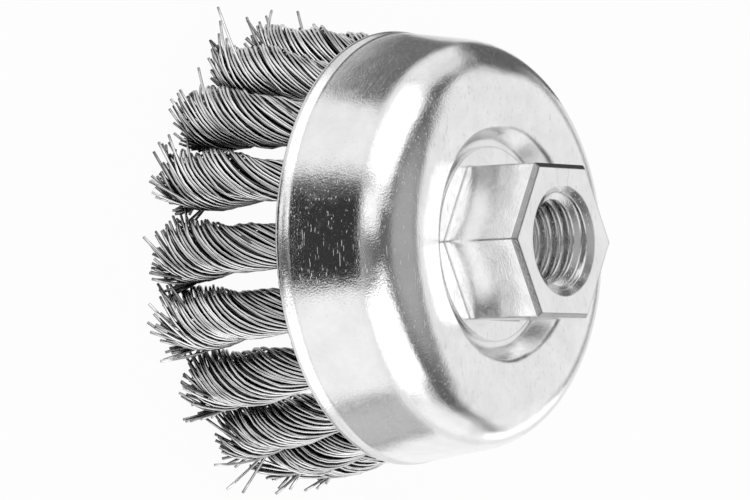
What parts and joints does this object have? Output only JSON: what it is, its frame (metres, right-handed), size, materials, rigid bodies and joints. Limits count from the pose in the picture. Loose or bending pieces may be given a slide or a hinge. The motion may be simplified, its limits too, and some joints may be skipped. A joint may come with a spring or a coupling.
{
  "type": "wire cup brush",
  "caption": "Knotted wire cup brush for an angle grinder: a pressed steel cup with a threaded hexagon nut and a ring of twisted wire knots.",
  "frame": {"origin": "on the brush's axis, in the plane of the wire tips it stands on", "axes": "+Z runs along the axis from the wire tips to the nut; a knot and, within 3 degrees, a corner of the nut face -Y"},
  "size_m": [0.067, 0.0676, 0.0494],
  "materials": {
    "zinc_plated_steel": "bright zinc plate",
    "steel_wire": "bare drawn wire",
    "plain_steel": "bare pressed steel"
  },
  "bodies": {
    "root": {"cup": "zinc_plated_steel", "hub_nut": "zinc_plated_steel", "holding_plate": "plain_steel", "knot_01": "steel_wire", "knot_02": "steel_wire", "knot_03": "steel_wire", "knot_04": "steel_wire", "knot_05": "steel_wire", "knot_06": "steel_wire", "knot_07": "steel_wire", "knot_08": "steel_wire", "knot_09": "steel_wire", "knot_10": "steel_wire", "knot_11": "steel_wire", "knot_12": "steel_wire", "knot_13": "steel_wire", "knot_14": "steel_wire", "knot_15": "steel_wire", "knot_16": "steel_wire", "knot_17": "steel_wire", "knot_18": "steel_wire"}
  },
  "joints": []
}
